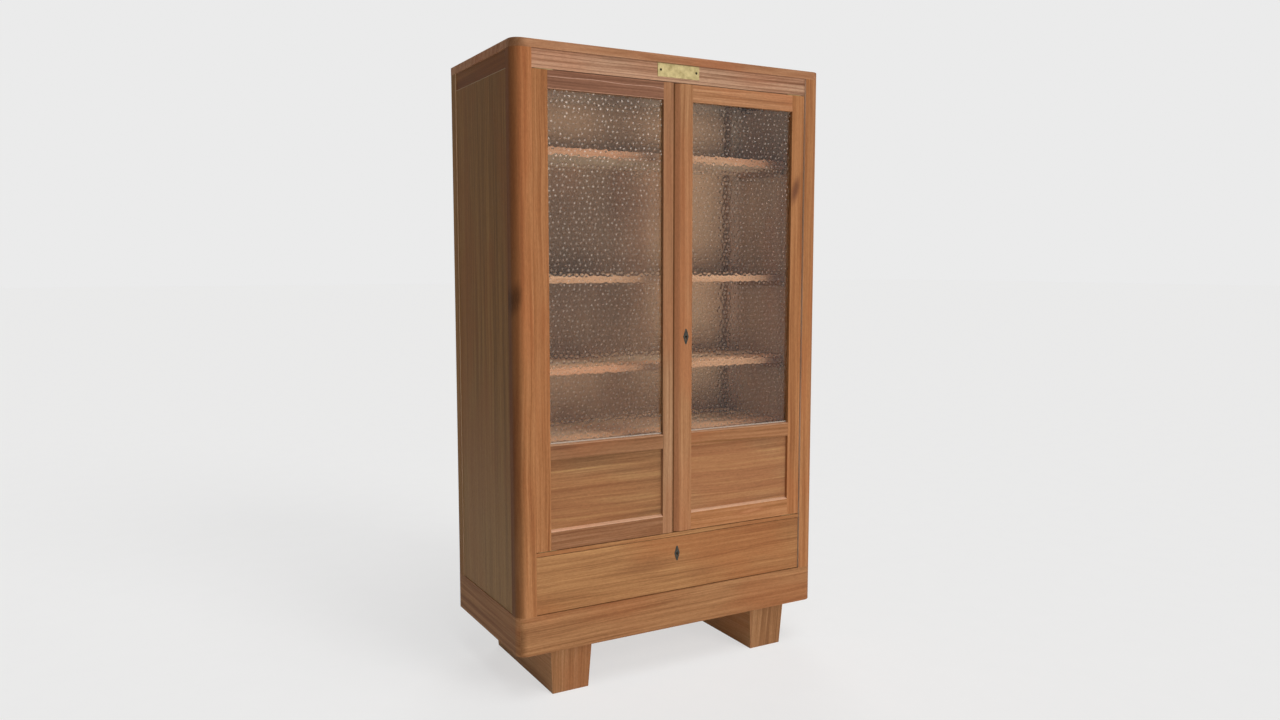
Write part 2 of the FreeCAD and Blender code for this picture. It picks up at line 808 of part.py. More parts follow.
def lock_bolt():
    return board(-lock_bolt_width / 2, lock_bolt_width / 2, lock_bolt_offset,
                 lock_bolt_offset + lock_bolt_thickness, -lock_bolt_set - lock_bolt_length,
                 -lock_bolt_set)


def door_key_x():
    return active_edge + door_lock_set + door_lock_backset


def door_key_z():
    return door_bottom + door_lock_height


def on_door(piece):
    piece.rotate(FreeCAD.Vector(0, 0, 0), FreeCAD.Vector(0, 1, 0), -90)
    piece.translate(FreeCAD.Vector(active_edge + door_lock_set, door_back, door_key_z()))
    return piece


def on_drawer(piece):
    piece.translate(FreeCAD.Vector(0, drawer_face_back, drawer_front_top - drawer_lock_set))
    return piece


def drawer_key_z():
    return drawer_front_top - drawer_lock_set - drawer_lock_backset


def escutcheon(x, z):
    """A long lozenge with blunt tips and a keyhole through it."""
    half_width = escutcheon_width / 2
    half_height = escutcheon_height / 2
    half_tip = escutcheon_tip / 2
    y = door_face - escutcheon_thickness
    outline = [(x - half_tip, y, z + half_height), (x + half_tip, y, z + half_height),
               (x + half_width, y, z), (x + half_tip, y, z - half_height),
               (x - half_tip, y, z - half_height), (x - half_width, y, z)]
    plate = prism(outline, (0, escutcheon_thickness, 0))
    eye = Part.makeCylinder(key_hole_radius, escutcheon_thickness + 2 * overrun,
                            FreeCAD.Vector(x, y - overrun, z), FreeCAD.Vector(0, 1, 0))
    slot = board(x - key_slot_width / 2, x + key_slot_width / 2, y - overrun,
                 door_face + overrun, z - key_slot_length, z)
    return plate.cut(eye.fuse(slot))


# Drawer, dovetailed at all four corners
def tails(count, x0, x1, root, tip, z0, z1):
    """Dovetails that widen from their root to their tip, shared out over a height."""
    pitch = (z1 - z0) / count
    half_tip = pitch * tail_share / 2
    half_root = half_tip - abs(tip - root) * tail_slope_share
    pieces = []
    for number in range(count):
        z = z0 + (number + 0.5) * pitch
        outline = [(x0, root, z - half_root), (x0, tip, z - half_tip),
                   (x0, tip, z + half_tip), (x0, root, z + half_root)]
        pieces.append(prism(outline, (x1 - x0, 0, 0)))
    return pieces


def front_tails():
    return tails(front_tail_count, drawer_outer, drawer_inner, drawer_face_back,
                 drawer_face_back - dovetail_depth, drawer_side_bottom, drawer_side_top)


def back_tails():
    return tails(back_tail_count, drawer_outer, drawer_inner, drawer_rear - drawer_back_thickness,
                 drawer_rear, drawer_bottom_top, drawer_side_top)


def drawer_bottom_room(play):
    edge = drawer_bottom_groove - play
    return board(drawer_inner - edge, -drawer_inner + edge, drawer_face_back - edge,
                 drawer_rear, drawer_bottom_under, drawer_bottom_top)


def drawer_front():
    piece = board(drawer_outer, -drawer_outer, door_face, drawer_face_back,
                  drawer_front_bottom, drawer_front_top)
    key_hole = Part.makeCylinder(key_hole_radius, drawer_front_thickness + 2 * overrun,
                                 FreeCAD.Vector(0, door_face - overrun, drawer_key_z()),
                                 FreeCAD.Vector(0, 1, 0))
    sockets = front_tails()
    sockets += [mirrored(socket) for socket in sockets]
    return piece.cut(sockets + [key_hole, drawer_bottom_room(0)])


def drawer_side():
    piece = board(drawer_outer, drawer_inner, drawer_face_back, drawer_rear,
                  drawer_side_bottom, drawer_side_top)
    pins = board(drawer_outer - overrun, drawer_inner + overrun,
                 drawer_rear - drawer_back_thickness, drawer_rear + overrun,
                 drawer_bottom_top, drawer_side_top + overrun)
    piece = piece.cut(pins.cut(back_tails()))
    piece = piece.fuse(front_tails()).removeSplitter()
    return piece.cut(drawer_bottom_room(0))


def drawer_back():
    piece = board(drawer_outer, -drawer_outer, drawer_rear - drawer_back_thickness, drawer_rear,
                  drawer_bottom_top, drawer_side_top)
    sockets = back_tails()
    return piece.cut(sockets + [mirrored(socket) for socket in sockets])


# Every piece by the name of its node
shapes = {
    "top_board": top_board(),
    "front_post_left": front_post(),
    "front_post_right": mirrored(front_post()),
    "rear_post_left": rear_post(),
    "rear_post_right": mirrored(rear_post()),
    "frieze_rail": frieze_rail(),
    "door_stop_strip": door_stop_strip(),
    "side_top_rails": both_sides(side_top_rail()),
    "rear_top_rail": rear_top_rail(),
    "side_panels": both_sides(side_panel()),
    "plinth_front": plinth_front(),
    "plinth_sides": both_sides(plinth_side()),
    "plinth_rear": plinth_rear(),
    "back_panel": back_panel(),
    "bottom_board": bottom_board(),
    "divider_rail": divider_rail(),
    "cupboard_floor": cupboard_floor(),
    "drawer_runners": drawer_runner_set(),
    "shelf_cleats": shelf_cleats(),
    "runner_foot_left": foot(),
    "runner_foot_right": mirrored(foot()),
    "foot_screws": foot_screw_solids(0),
    "brass_plate": name_plate(),
    "plate_screws": plate_screw_solids(0),
    "hinge_case_leaves": hinge_case_leaves(),
    "left_door_bolt_cases": Part.makeCompound([bolt_case(), upper_bolt(bolt_case())]),
    "left_door_lower_bolt": bolt_rod(),
    "left_door_upper_bolt": upper_bolt(bolt_rod()),
    "door_lock_case": on_door(lock_case(door_lock_backset)),
    "door_lock_bolt": on_door(lock_bolt()),
    "door_escutcheon": escutcheon(door_key_x(), door_key_z()),
    "drawer_front": drawer_front(),
    "drawer_sides": both_sides(drawer_side()),
    "drawer_back": drawer_back(),
    "drawer_bottom": drawer_bottom_room(joint_fit),
    "drawer_lock_case": on_drawer(lock_case(drawer_lock_backset)),
    "drawer_lock_bolt": on_drawer(lock_bolt()),
    "drawer_escutcheon": escutcheon(0, drawer_key_z()),
}
for number in range(1, len(shelf_height_shares) + 1):
    shapes["shelf_%d" % number] = shelf(number)
shapes.update(left_door())
shapes.update(right_door())

os.makedirs("parts", exist_ok=True)
for name, shape in shapes.items():
    if not shape.isValid():
        print("not valid:", name)
    shape.exportStep("parts/%s.step" % name)
print(len(shapes), "nodes")
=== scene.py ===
"""A school cabinet: a wood case with two pebble-glazed doors, one drawer and two runner feet."""

import json
import math
import random
from dataclasses import dataclass

import bmesh
import bpy
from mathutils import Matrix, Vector, noise


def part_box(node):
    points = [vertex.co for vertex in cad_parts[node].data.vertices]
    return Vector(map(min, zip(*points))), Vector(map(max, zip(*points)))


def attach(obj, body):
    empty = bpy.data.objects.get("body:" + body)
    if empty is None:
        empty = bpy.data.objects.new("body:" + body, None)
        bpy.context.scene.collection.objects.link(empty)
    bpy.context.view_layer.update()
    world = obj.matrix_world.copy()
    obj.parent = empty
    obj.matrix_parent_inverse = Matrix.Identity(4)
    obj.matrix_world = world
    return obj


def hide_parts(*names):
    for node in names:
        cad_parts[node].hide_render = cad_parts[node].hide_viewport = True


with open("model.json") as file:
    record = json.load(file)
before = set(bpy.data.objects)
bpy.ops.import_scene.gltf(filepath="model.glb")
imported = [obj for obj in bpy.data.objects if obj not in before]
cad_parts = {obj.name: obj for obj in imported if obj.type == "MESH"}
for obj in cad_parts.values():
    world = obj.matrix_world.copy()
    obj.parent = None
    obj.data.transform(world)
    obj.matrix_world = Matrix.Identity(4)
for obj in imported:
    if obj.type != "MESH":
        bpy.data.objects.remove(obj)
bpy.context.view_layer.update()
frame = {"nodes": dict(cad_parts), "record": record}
nodes = frame["nodes"]
bodies = frame["record"]["behaviour"]["bodies"]
body_of = {node: body for body, members in bodies.items() for node in members}

# The studio. Each lamp has its turn to the right of the cabinet's front, its height and its
# spread, in degrees, and its power. The low one shines up through the floor, as light does that a
# white floor throws back, and nothing mirrors it.
lamps = {
    "key": (20.0, 30.0, 24.0, 0.88),
    "high": (10.0, 68.0, 40.0, 1.2),
    "low": (-6.0, -10.0, 26.0, 1.42),
    "back": (150.0, 38.0, 30.0, 0.6),
}
lamp_colour = (1.0, 0.99, 0.975)
sky_strength = 0.06
wall_level = 0.83
floor_levels = (0.815, 0.835)
floor_bounce = 0.90
floor_glow = 0.60
floor_reach = 60.0
floor_squares = 8

camera_place = (-1.5038, -2.6917, 1.2104)
camera_heading = math.radians(29.31)
camera_dip = math.radians(5.49)
camera_lens = 27.818
camera_reach = 200.0
sensor_width = 36.0

# The wood's figure: how often its features repeat in a metre, along and across the grain and in
# depth, and how strongly they show. The bands' rates are across, along and in depth.
wander_rates = (2.1, 5.0, 5.0)
band_rates = (62.0, 0.9, 2.0)
streak_rates = (3.2, 190.0, 60.0)
fibre_rates = (22.0, 620.0, 620.0)
fleck_rates = (95.0, 340.0, 340.0)
pore_rates = (55.0, 1500.0, 1500.0)
cloud_rates = (2.6, 7.0, 7.0)
ring_lean = 0.35
ring_wander = 0.022
band_shift = 3.1
band_share = 0.56
red_levels = (1.0, 0.86, 0.80)
red_share = 0.45
plain_shade = 0.57
fibre_shade = 0.32
fleck_shade = 0.54
pore_share = 0.45
worn_share = 0.35
# A given arris tone shows wear and a painted highlight along the arrises.
wear_and_highlight_share = 0.4
mark_core = 0.15

wood_relief = 0.00025
brass_relief = 0.00006
dark_metal_relief = 0.0001
steel_relief = 0.00004

merge_distance = 1e-5
flat_angle = math.radians(0.6)
arris_angle = math.radians(50.0)
smooth_angle = math.radians(20.0)
# How far a face has to look one way to count as looking that way, from 0 to 1.
squarely = 0.9
partly = 0.5
slightly = 0.3

# The panes' pebbles stand in staggered rows, and each is moved at random by up to one of the steps
# that its pitch is divided into.
pebble_pitch = 0.0160
pebble_row = 0.0140
pebble_steps = 6
row_shifts = (-2, 1)
random_shifts = (-1, -1, 0, 1, 1)
pebble_radius = 0.0054
pebble_height = 0.0008
lowest_pebble = 0.6
roundness = 1.5
# The pebbles' crowns carry painted glints, of random strength, growing brighter towards the top of
# each pane.
crown_radius = 0.0020
faintest_gleam = 0.1
foot_gleam = 0.12
gleam_contrast = 1.5
hammer_pitch = 0.0060
hammer_depth = 0.00022
# A pale band painted along each pane's foot stands for the highlight on the lit sill edge there.
foot_highlight_height = 0.0105
foot_highlight_cover = 0.65
foot_highlight_gleam = 0.5


def paint(red, green, blue):
    """The linear colour of a finish that is written as it looks, 0 to 255."""
    shares = [level / 255.0 for level in (red, green, blue)]
    linear = [s / 12.92 if s <= 0.04045 else ((s + 0.055) / 1.055) ** 2.4 for s in shares]
    return (*linear, 1.0)


def grey(level):
    return (level, level, level, 1.0)


class Value:
    """Something that changes over a surface: a socket, with arithmetic that adds Math nodes."""

    def __init__(self, finish, socket):
        self.finish = finish
        self.socket = socket

    def __add__(self, other):
        return self.finish.math("ADD", self, other)

    __radd__ = __add__

    def __mul__(self, other):
        return self.finish.math("MULTIPLY", self, other)

    __rmul__ = __mul__

    def __sub__(self, other):
        return self.finish.math("SUBTRACT", self, other)

    def __rsub__(self, other):
        return self.finish.math("SUBTRACT", other, self)

    def __truediv__(self, other):
        return self.finish.math("DIVIDE", self, other)

    def __pow__(self, other):
        return self.finish.math("POWER", self, other)

    def __abs__(self):
        return self.finish.math("ABSOLUTE", self)


class Finish:
    """The nodes of one material or of the sky."""

    def __init__(self, owner):
        owner.use_nodes = True
        self.owner = owner
        self.tree = owner.node_tree
        self.tree.nodes.clear()

    def node(self, kind, settings=None, sockets=None, output=0):
        """Adds a node: its settings are made first, then its sockets are filled or linked."""
        added = self.tree.nodes.new(kind)
        for name, setting in (settings or {}).items():
            if name == "stops":
                self.set_stops(added.color_ramp, setting)
            else:
                setattr(added, name, setting)
        for name, value in (sockets or {}).items():
            if isinstance(value, Value):
                self.tree.links.new(value.socket, added.inputs[name])
            else:
                added.inputs[name].default_value = value
        return Value(self, added.outputs[output]) if added.outputs else None

    def set_stops(self, ramp, stops):
        while len(ramp.elements) < len(stops):
            ramp.elements.new(1.0)
        for element, (place, colour) in zip(ramp.elements, stops):
            element.position = place
            element.color = colour

    def math(self, operation, first, second=None):
        sockets = {0: first} if second is None else {0: first, 1: second}
        return self.node("ShaderNodeMath", {"operation": operation}, sockets)

    def mix(self, share, first, second, blend="MIX"):
        """A colour between two others, by share."""
        settings = {"data_type": "RGBA", "blend_type": blend}
        return self.node("ShaderNodeMix", settings, {0: share, 6: first, 7: second}, 2)

    def mix_shaders(self, share, first, second):
        return self.node("ShaderNodeMixShader", sockets={0: share, 1: first, 2: second})

    def ramp(self, value, stops):
        return self.node("ShaderNodeValToRGB", {"stops": stops}, {0: value})

    def place(self):
        """The three coordinates of the point on the piece, in metres."""
        point = self.node("ShaderNodeTexCoord", output="Object")
        split = self.node("ShaderNodeSeparateXYZ", sockets={0: point}).socket.node
        return tuple(Value(self, output) for output in split.outputs)

    def noise(self, point, rates, shifts=(0.0, 0.0, 0.0), detail=2.0, roughness=0.5):
        """Noise that has its own rate along each axis, and is shifted along it."""
        scaled = [value * rate for value, rate in zip(point, rates)]
        moved = [value + shift if shift else value for value, shift in zip(scaled, shifts)]
        vector = self.node("ShaderNodeCombineXYZ", sockets=dict(enumerate(moved)))
        sockets = {"Vector": vector, "Scale": 1.0, "Detail": detail, "Roughness": roughness}
        return self.node("ShaderNodeTexNoise", sockets=sockets)

    def speckle(self, rates, detail):
        """Noise over the whole piece."""
        return self.noise(self.place(), rates, detail=detail, roughness=0.6)

    def between(self, value, low, high):
        """0 where value is at low, 1 where it is at high, with soft ends."""
        settings = {"interpolation_type": "SMOOTHSTEP"}
        return self.node("ShaderNodeMapRange", settings, {0: value, 1: low, 2: high})

    def attribute(self, name):
        return self.node("ShaderNodeAttribute", {"attribute_name": name}, output="Fac")

    def rays(self, *kinds):
        """1 for a ray of one of the kinds, and 0 for any other."""
        path = self.node("ShaderNodeLightPath").socket.node
        first, *others = (Value(self, path.outputs[f"Is {kind} Ray"]) for kind in kinds)
        for other in others:
            first = self.math("MAXIMUM", first, other)
        return first

    def surface(self, sockets, bump=None, bump_depth=0.0):
        """The material's Principled shader, with a relief if bump is given."""
        if bump is not None:
            relief = self.node("ShaderNodeBump", sockets={"Height": bump, "Distance": bump_depth})
            sockets = {**sockets, "Normal": relief}
        return self.node("ShaderNodeBsdfPrincipled", sockets=sockets)

    def end(self, shader, kind="ShaderNodeOutputMaterial"):
        self.node(kind, sockets={"Surface": shader})
        return self.owner


@dataclass
class Mark:
    """A vein, knot or stain in one board. across and along are its middle, and width and length
    how far it reaches each way from there; without along it runs the board's whole length. sway
    lets it follow the grain's wander, and lean tilts it. share is how strongly it shows."""

    colour: tuple
    across: float
    width: float
    along: float | None = None
    length: float | None = None
    sway: float = 0.0
    lean: float = 0.0
    share: float = 1.0

    def cover(self, finish, along, across, wander):
        """How much of the mark's colour shows at a point."""
        middle = self.across + wander * self.sway
        if self.along is None:
            off = abs(across - middle) / self.width
        else:
            run = (along - self.along) / self.length
            side = (across - middle - run * self.lean) / self.width
            off = (run * run + side * side) ** 0.5
        return (1.0 - finish.between(off, mark_core, 1.0)) * self.share


def wood(name, grain, face, tones, seed, marks=(), arris_colour=None, painted_light_fade=None):
    """Oiled wood. grain is the axis the fibres follow and face the other axis of the seen face.
    tones are its dark, middle and light; its worn arrises take the light one unless an arris tone
    is given, a paler tone that also paints a highlight on them. The fade, if given, is two places
    along the grain and the brightness at each, a painted gradient of light."""
    dark, middle, light = (paint(*tone) for tone in tones)
    red = paint(*(level * share for level, share in zip(tones[1], red_levels)))
    finish = Finish(bpy.data.materials.new(name))
    place = dict(zip("xyz", finish.place()))
    depth_axis = ({"x", "y", "z"} - {grain, face}).pop()
    along, across, depth = point = place[grain], place[face], place[depth_axis]

    wander = finish.noise(point, wander_rates, (seed, 0.0, 0.0)) - 0.5
    ring = across + depth * ring_lean + wander * ring_wander
    band_shifts = (seed * band_shift, 0.0, seed)
    bands = finish.noise((ring, along, depth), band_rates, band_shifts, 4.0, 0.62)
    streaks = finish.noise((along, ring, depth), streak_rates, (seed, 0.0, 0.0), 3.0, 0.6)
    fibres = finish.noise(point, fibre_rates, (0.0, seed, 0.0), 2.0, 0.7)
    flecks = finish.noise(point, fleck_rates, (0.0, seed, 0.0), 3.0, 0.65)
    pores = finish.noise(point, pore_rates, (seed, 0.0, 0.0), 1.0)
    clouds = finish.noise(point, cloud_rates, (0.0, seed, 0.0))

    tone = bands * band_share + streaks * (1.0 - band_share)
    colour = finish.ramp(tone, [(0.38, dark), (0.50, middle), (0.63, light)])
    colour = finish.mix(finish.between(clouds, 0.42, 0.66) * red_share, colour, red)
    for mark in marks:
        colour = finish.mix(mark.cover(finish, along, across, wander), colour, paint(*mark.colour))
    shade = fibres * fibre_shade + flecks * fleck_shade + plain_shade
    # A fade is painted light: it changes the brightness along the grain as the light falling there
    # would.
    if painted_light_fade is not None:
        low, high, low_share, high_share = painted_light_fade
        shade = shade * ((along - low) * ((high_share - low_share) / (high - low)) + low_share)
    shades = finish.node("ShaderNodeCombineColor", sockets={0: shade, 1: shade, 2: shade})
    colour = finish.mix(1.0, colour, shades, "MULTIPLY")
    pore = finish.between(pores, 0.60, 0.72)
    colour = finish.mix(pore * pore_share, colour, dark)
    arris = finish.attribute("arris")
    # Worn arrises take the light tone; a given arris tone is paler and also paints a highlight on
    # them.
    if arris_colour is None:
        colour = finish.mix(arris * worn_share, colour, light)
    else:
        colour = finish.mix(arris * wear_and_highlight_share, colour, paint(*arris_colour))
    sockets = {
        "Base Color": colour,
        "Roughness": 0.54 + fibres * 0.14 - arris * 0.10,
        "Specular IOR Level": 0.09,
    }
    return finish.end(finish.surface(sockets, fibres * 0.5 - pore * 0.6, wood_relief))


def brass_finish():
    """Brass gone mottled and greenish."""
    finish = Finish(bpy.data.materials.new("aged_brass"))
    cloud = finish.speckle((60.0, 60.0, 60.0), 4.0)
    brush = finish.speckle((90.0, 900.0, 2600.0), 2.0)
    stops = [
        (0.32, paint(152, 136, 88)),
        (0.48, paint(177, 160, 112)),
        (0.64, paint(198, 181, 130)),
    ]
    sockets = {
        "Base Color": finish.ramp(cloud, stops),
        "Metallic": 0.55,
        "Roughness": 0.42 + cloud * 0.22,
    }
    return finish.end(finish.surface(sockets, brush, brass_relief))


def dark_metal_finish(name, dark, light, arris_colour):
    """Blackened metal, worn lighter along its edges."""
    finish = Finish(bpy.data.materials.new(name))
    cloud = finish.speckle((180.0, 180.0, 180.0), 4.0)
    colour = finish.ramp(cloud, [(0.35, paint(*dark)), (0.65, paint(*light))])
    colour = finish.mix(finish.attribute("arris") * 0.3, colour, paint(*arris_colour))
    sockets = {"Base Color": colour, "Metallic": 0.6, "Roughness": 0.50 + cloud * 0.2}
    return finish.end(finish.surface(sockets, cloud, dark_metal_relief))


def steel_finish():
    """Plain bright steel with a drawn sheen."""
    finish = Finish(bpy.data.materials.new("drawn_steel"))
    drawn = finish.speckle((700.0, 700.0, 60.0), 3.0)
    colour = finish.ramp(drawn, [(0.3, paint(146, 146, 144)), (0.7, paint(188, 187, 184))])
    sockets = {"Base Color": colour, "Metallic": 1.0, "Roughness": 0.34 + drawn * 0.18}
    return finish.end(finish.surface(sockets, drawn, steel_relief))


def glass_finish():
    """Rolled glass, clear but for the painted glints on the crowns of its pebbles and a pale
    painted highlight along its foot. The light of the lamps and the light that bounces go straight
    through it."""
    finish = Finish(bpy.data.materials.new("pebbled_glass"))
    film = finish.speckle((240.0, 240.0, 240.0), 3.0)
    sockets = {
        "Base Color": paint(247, 244, 240),
        "Roughness": 0.02 + film * 0.04,
        "Transmission Weight": 1.0,
        "IOR": 1.36,
    }
    clear_glass = finish.surface(sockets)
    # Painted glints: the pebbles' crowns are paler, up to near white where they gleam most, over a
    # tone like the wood behind.
    pale = finish.mix(finish.attribute("gleam"), paint(130, 107, 90), paint(255, 240, 224))
    painted_glints = finish.surface({"Base Color": pale, "Roughness": 0.35 + film * 0.2})
    glass = finish.mix_shaders(finish.attribute("crown"), clear_glass, painted_glints)
    through = finish.node("ShaderNodeBsdfTransparent", sockets={"Color": paint(243, 242, 238)})
    return finish.end(finish.mix_shaders(finish.rays("Shadow", "Diffuse"), glass, through))


def floor_finish():
    """Pale matt floor. Only the camera and shiny things see how pale it is."""
    finish = Finish(bpy.data.materials.new("studio_floor"))
    speck = finish.speckle((9.0, 9.0, 0.0), 3.0)
    pale = finish.ramp(speck, list(zip((0.3, 0.7), map(grey, floor_levels))))
    lit = finish.node("ShaderNodeBsdfDiffuse", sockets={"Color": pale})
    glow = finish.node("ShaderNodeEmission", sockets={"Color": grey(1.0), "Strength": 1.0})
    seen = finish.mix_shaders(floor_glow, lit, glow)
    dull = finish.node("ShaderNodeBsdfDiffuse", sockets={"Color": grey(floor_bounce)})
    looks = finish.rays("Camera", "Glossy", "Transmission")
    return finish.end(finish.mix_shaders(looks, dull, seen))


def light_sky():
    """Even light from all round, behind which the camera sees the studio's pale wall."""
    sky = Finish(bpy.data.worlds.new("studio"))
    lit = sky.node("ShaderNodeBackground", sockets={"Color": grey(1.0), "Strength": sky_strength})
    seen = sky.node("ShaderNodeBackground", sockets={"Color": grey(wall_level), "Strength": 1.0})
    looks = sky.rays("Camera", "Glossy", "Transmission")
    bpy.context.scene.world = sky.end(sky.mix_shaders(looks, lit, seen), "ShaderNodeOutputWorld")


def new_piece(name, work, body, materials):
    """Makes a bmesh the mesh of a new piece that rides on a body."""
    mesh = bpy.data.meshes.new(name)
    work.to_mesh(mesh)
    work.free()
    spare = mesh.attributes.get("custom_normal")
    if spare is not None:
        mesh.attributes.remove(spare)
    for material in materials:
        mesh.materials.append(material)
    mesh.polygons.foreach_set("use_smooth", [True] * len(mesh.polygons))
    mesh.set_sharp_from_angle(angle=smooth_angle)
    piece = bpy.data.objects.new(name, mesh)
    bpy.context.scene.collection.objects.link(piece)
    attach(piece, body)
    return piece


def looks_in(face):
    """Whether a face looks towards the cabinet's middle."""
    outwards = math.copysign(1.0, face.calc_center_median().x)
    return -face.normal.x * outwards > squarely


def looks_up(face):
    return face.normal.z > slightly


def looks_forward(face):
    return face.normal.y < -partly


def looks_inside(face):
    return looks_in(face) or looks_forward(face)


def eased(node, ease, shortest, material, slot, lining=None, lined=None):
    """The CAD board with its long outer arrises worn soft, which stands for its node. The faces
    that lined picks out get the lining's finish."""
    work = bmesh.new()
    work.from_mesh(nodes[node].data)
    bmesh.ops.remove_doubles(work, verts=work.verts, dist=merge_distance)
    bmesh.ops.dissolve_limit(work, angle_limit=flat_angle, verts=work.verts, edges=work.edges)
    arris = work.faces.layers.float.new("arris")
    sharp = [
        edge
        for edge in work.edges
        if edge.is_manifold
        and edge.is_convex
        and edge.calc_length() > shortest
        and edge.calc_face_angle() > arris_angle
    ]
    made = bmesh.ops.bevel(
        work,
        geom=sharp,
        offset=ease,
        segments=2,
        profile=0.5,
        affect="EDGES",
        material=-1,
        clamp_overlap=True,
    )
    for face in made["faces"]:
        face[arris] = 1.0
    work.normal_update()
    for face in work.faces:
        face.material_index = 1 if lining and lined(face) else 0
    finishes = [material, lining] if lining else [material]
    piece = new_piece(node + "_eased", work, body_of[node], finishes)
    fair = piece.modifiers.new("fair", "WEIGHTED_NORMAL")
    fair.keep_sharp = True
    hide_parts(node)


def dress(node, material):
    """Gives a CAD node its finish."""
    for slot in nodes[node].material_slots:
        slot.material = material


def pebble_centres(seed, columns, rows, pitch, row_pitch):
    """Where the pebbles of a pane stand, how high they are and how they gleam. They go two past
    each edge, so that every point of the pane has all its neighbours."""
    draw = random.Random(seed)
    centres = {}
    for row in range(-2, rows + 3):
        for column in range(-2, columns + 3):
            middle = pebble_steps // 2 + row_shifts[row % 2]
            x_step = column * pebble_steps + middle + draw.choice(random_shifts)
            z_step = row * pebble_steps + pebble_steps // 2 + draw.choice(random_shifts)
            centres[column, row] = (
                x_step * pitch / pebble_steps,
                z_step * row_pitch / pebble_steps,
                draw.uniform(lowest_pebble, 1.0) * pebble_height,
                draw.uniform(faintest_gleam, 1.0) ** gleam_contrast,
            )
    return centres


def pebble_at(x, z, pebbles):
    """How far a pane's front rises at a point, how near the point is to a crown, and the gleam of
    that pebble."""
    rise = 0.0
    crown = 0.0
    crown_gleam = 0.0
    for middle_x, middle_z, height, gleam in pebbles:
        off = (x - middle_x) ** 2 + (z - middle_z) ** 2
        if off < pebble_radius**2:
            rise = max(rise, height * (1.0 - off / pebble_radius**2) ** roundness)
            near = math.exp(-off / crown_radius**2)
            if near > crown:
                crown = near
                crown_gleam = gleam
    return rise, crown, crown_gleam


def pebbled_pane(node, material, seed, cover, brightest):
    """A pane of rolled glass, flat behind: staggered round pebbles on a faintly hammered front,
    with painted glints on their crowns that grow brighter towards the top, and a pale painted
    highlight along its foot."""
    low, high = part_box(node)
    width = high.x - low.x
    height = high.z - low.z
    columns = round(width / pebble_pitch)
    rows = round(height / pebble_row)
    pitch = width / columns
    row_pitch = height / rows
    centres = pebble_centres(seed, columns, rows, pitch, row_pitch)

    work = bmesh.new()
    crown_layer = work.verts.layers.float.new("crown")
    gleam_layer = work.verts.layers.float.new("gleam")
    bmesh.ops.create_grid(
        work, x_segments=columns * pebble_steps, y_segments=rows * pebble_steps, size=0.5
    )
    front = low.y + pebble_height + hammer_depth
    for vert in work.verts:
        x = (vert.co.x + 0.5) * width
        z = (vert.co.y + 0.5) * height
        column, row = int(x / pitch), int(z / row_pitch)
        near_rows = (row - 1, row, row + 1)
        near_columns = (column - 1, column, column + 1)
        pebbles = [centres[c, r] for r in near_rows for c in near_columns]
        rise, crown, gleam = pebble_at(x, z, pebbles)
        # The crowns carry painted glints, brighter the higher they stand on the pane.
        vert[crown_layer] = cover * crown
        brightness = foot_gleam + (1.0 - foot_gleam) * (z / height) ** gleam_contrast
        vert[gleam_layer] = brightest * gleam * brightness
        # The pane's foot gets a pale band, a painted highlight.
        if z < foot_highlight_height:
            vert[crown_layer] = foot_highlight_cover
            vert[gleam_layer] = foot_highlight_gleam
        swell = noise.noise(Vector((x, z, seed)) / hammer_pitch) * hammer_depth
        vert.co = (low.x + x, front - rise + swell, low.z + z)
    rim = [edge for edge in work.edges if edge.is_boundary]
    sides = bmesh.ops.extrude_edge_only(work, edges=rim)["geom"]
    for vert in sides:
        if isinstance(vert, bmesh.types.BMVert):
            vert.co.y = high.y
            vert[crown_layer] = 0.0
            vert[gleam_layer] = 0.0
    bmesh.ops.contextual_create(work, geom=[edge for edge in work.edges if edge.is_boundary])
    bmesh.ops.recalc_face_normals(work, faces=work.faces)
    pane = new_piece(node + "_pebbled", work, body_of[node], [material])
    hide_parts(node)


def set_camera():
    lens = bpy.data.cameras.new("photograph")
    lens.lens = camera_lens
    lens.sensor_width = sensor_width
    lens.clip_end = camera_reach
    camera = bpy.data.objects.new("photograph", lens)
    camera.location = camera_place
    camera.rotation_euler = (math.pi / 2 - camera_dip, 0.0, -camera_heading)
    bpy.context.scene.collection.objects.link(camera)
    bpy.context.scene.camera = camera


def set_studio():
    """The lamps, the sky and the floor."""
    for name, (turn, height, spread, power) in lamps.items():
        light = bpy.data.lights.new(name, "SUN")
        light.energy = power
        light.angle = math.radians(spread)
        light.color = lamp_colour
        lamp = bpy.data.objects.new(name, light)
        lamp.rotation_euler = (math.radians(90.0 - height), 0.0, math.radians(turn))
        above_floor = height > 0.0
        lamp.visible_glossy = above_floor
        lamp.visible_transmission = above_floor
        bpy.context.scene.collection.objects.link(lamp)
    light_sky()
    work = bmesh.new()
    bmesh.ops.create_grid(
        work, x_segments=floor_squares, y_segments=floor_squares, size=floor_reach
    )
    mesh = bpy.data.meshes.new("studio_floor")
    work.to_mesh(mesh)
    work.free()
    mesh.materials.append(floor_finish())
    floor = bpy.data.objects.new("studio_floor", mesh)
    floor.visible_shadow = False
    bpy.context.scene.collection.objects.link(floor)


bpy.context.scene.view_settings.view_transform = "Standard"
set_camera()
set_studio()

# The tones of the boards, dark to light, as they look in plain light. Some are paler or darker
# than the wood to paint light or shade, as said where they stand.
foot_tones = [(140, 102, 68), (162, 122, 82), (178, 140, 100)]
# The left foot is paler than the right, painted light for its side that stands in shade.
left_foot_painted_light_tones = [(150, 113, 77), (172, 134, 93), (188, 151, 111)]
foot_end_tones = [(118, 80, 52), (142, 101, 67), (160, 120, 85)]
post_tones = [(134, 85, 52), (157, 106, 67), (176, 124, 83)]
stile_tones = [(130, 81, 49), (153, 102, 64), (172, 120, 80)]
